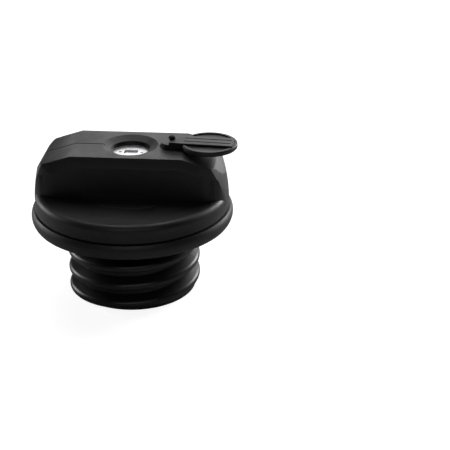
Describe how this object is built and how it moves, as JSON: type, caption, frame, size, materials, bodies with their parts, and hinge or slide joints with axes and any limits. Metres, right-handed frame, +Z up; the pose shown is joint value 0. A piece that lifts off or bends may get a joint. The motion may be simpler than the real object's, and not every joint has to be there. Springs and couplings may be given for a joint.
{
  "type": "fuel filler cap",
  "caption": "Lockable screw-in fuel filler cap: threaded hollow plug with gasket and breather valve, grip-bar handle that free-wheels, keyed cylinder lock and swivelling key cover.",
  "frame": {"origin": "centre of the plug's bottom face", "axes": "+Z up the cap's axis towards the handle; +X along the grip bar towards the open key cover"},
  "size_m": [0.0744, 0.0728, 0.0582],
  "materials": {
    "handle_plastic": "fine-grained matt black moulding",
    "neck_plastic": "smooth satin black moulding",
    "valve_plastic": "natural acetal",
    "seal_rubber": "matt rubber",
    "face_steel": "bright turned stainless",
    "shutter_steel": "dull stamped steel",
    "zinc": "bare zinc die casting",
    "wafer_brass": "stamped brass",
    "spring_steel": "drawn wire",
    "fastener_steel": "zinc plated"
  },
  "bodies": {
    "neck": {"threaded_neck": "neck_plastic", "gasket": "seal_rubber", "valve_housing": "valve_plastic", "valve_cap": "valve_plastic", "pressure_spring": "spring_steel"},
    "handle": {"handle_shell": "handle_plastic", "lock_sleeve": "zinc", "mechanism_plate": "valve_plastic", "plate_screws": "fastener_steel", "retaining_ring": "fastener_steel", "cover_pivot_pin": "neck_plastic", "cover_washer": "neck_plastic", "slide_spring": "spring_steel"},
    "core": {"lock_core": "zinc", "lock_face": "face_steel", "core_o_ring": "seal_rubber", "drive_cam": "zinc", "cam_screw": "fastener_steel", "shutter_pin": "fastener_steel", "wafer_spring_1": "spring_steel", "wafer_spring_2": "spring_steel", "wafer_spring_3": "spring_steel", "wafer_spring_4": "spring_steel", "wafer_spring_5": "spring_steel"},
    "slide": {"locking_slide": "fastener_steel"},
    "cover": {"key_cover": "handle_plastic"},
    "shutter": {"key_shutter": "shutter_steel"},
    "pressure": {"pressure_plate": "valve_plastic", "pressure_seal": "seal_rubber", "vacuum_spring": "spring_steel"},
    "vacuum": {"vacuum_valve": "seal_rubber", "vacuum_clip": "fastener_steel"},
    "wafer_1_body": {"wafer_1": "wafer_brass"},
    "wafer_2_body": {"wafer_2": "wafer_brass"},
    "wafer_3_body": {"wafer_3": "wafer_brass"},
    "wafer_4_body": {"wafer_4": "wafer_brass"},
    "wafer_5_body": {"wafer_5": "wafer_brass"}
  },
  "joints": [
    {"name": "handle_spin", "type": "hinge", "parent": "neck", "child": "handle", "pos_m": [0, 0, 0.0301], "axis": [0, 0, 1], "continuous": true},
    {"name": "lock_turn", "type": "hinge", "parent": "handle", "child": "core", "pos_m": [0, 0, 0.0435], "axis": [0, 0, 1], "range_deg": [0, 90]},
    {"name": "locking_slide_travel", "type": "slide", "parent": "handle", "child": "slide", "axis": [1, 0, 0], "range_m": [0, 0.002], "stiffness_N_per_m": 100, "springref_m": -0.001, "deforming": ["slide_spring"]},
    {"name": "cover_swivel", "type": "hinge", "parent": "handle", "child": "cover", "pos_m": [0.0148, 0, 0.0565], "axis": [0, 0, 1], "range_deg": [0, 184.3]},
    {"name": "shutter_fold", "type": "hinge", "parent": "core", "child": "shutter", "pos_m": [0, 0.00275, 0.05], "axis": [1, 0, 0], "range_deg": [0, 85], "stiffness_Nm_per_rad": 0.0002, "springref_deg": -34.38},
    {"name": "pressure_lift", "type": "slide", "parent": "neck", "child": "pressure", "axis": [0, 0, 1], "range_m": [0, 0.003], "stiffness_N_per_m": 400, "springref_m": -0.005, "deforming": ["pressure_spring"]},
    {"name": "vacuum_drop", "type": "slide", "parent": "pressure", "child": "vacuum", "axis": [0, 0, -1], "range_m": [0, 0.0015], "stiffness_N_per_m": 60, "springref_m": -0.002, "deforming": ["vacuum_spring"]},
    {"name": "wafer_1_throw", "type": "slide", "parent": "core", "child": "wafer_1_body", "axis": [1, 0, 0], "range_m": [0, 0.0008], "stiffness_N_per_m": 20, "deforming": ["wafer_spring_1"]},
    {"name": "wafer_2_throw", "type": "slide", "parent": "core", "child": "wafer_2_body", "axis": [-1, 0, 0], "range_m": [0, 0.0008], "stiffness_N_per_m": 20, "deforming": ["wafer_spring_2"]},
    {"name": "wafer_3_throw", "type": "slide", "parent": "core", "child": "wafer_3_body", "axis": [1, 0, 0], "range_m": [0, 0.0008], "stiffness_N_per_m": 20, "deforming": ["wafer_spring_3"]},
    {"name": "wafer_4_throw", "type": "slide", "parent": "core", "child": "wafer_4_body", "axis": [-1, 0, 0], "range_m": [0, 0.0008], "stiffness_N_per_m": 20, "deforming": ["wafer_spring_4"]},
    {"name": "wafer_5_throw", "type": "slide", "parent": "core", "child": "wafer_5_body", "axis": [1, 0, 0], "range_m": [0, 0.0008], "stiffness_N_per_m": 20, "deforming": ["wafer_spring_5"]}
  ],
  "couplings": [
    {"joint": "lock_turn", "follows": "locking_slide_travel", "rad_per_m": 785.39}
  ]
}
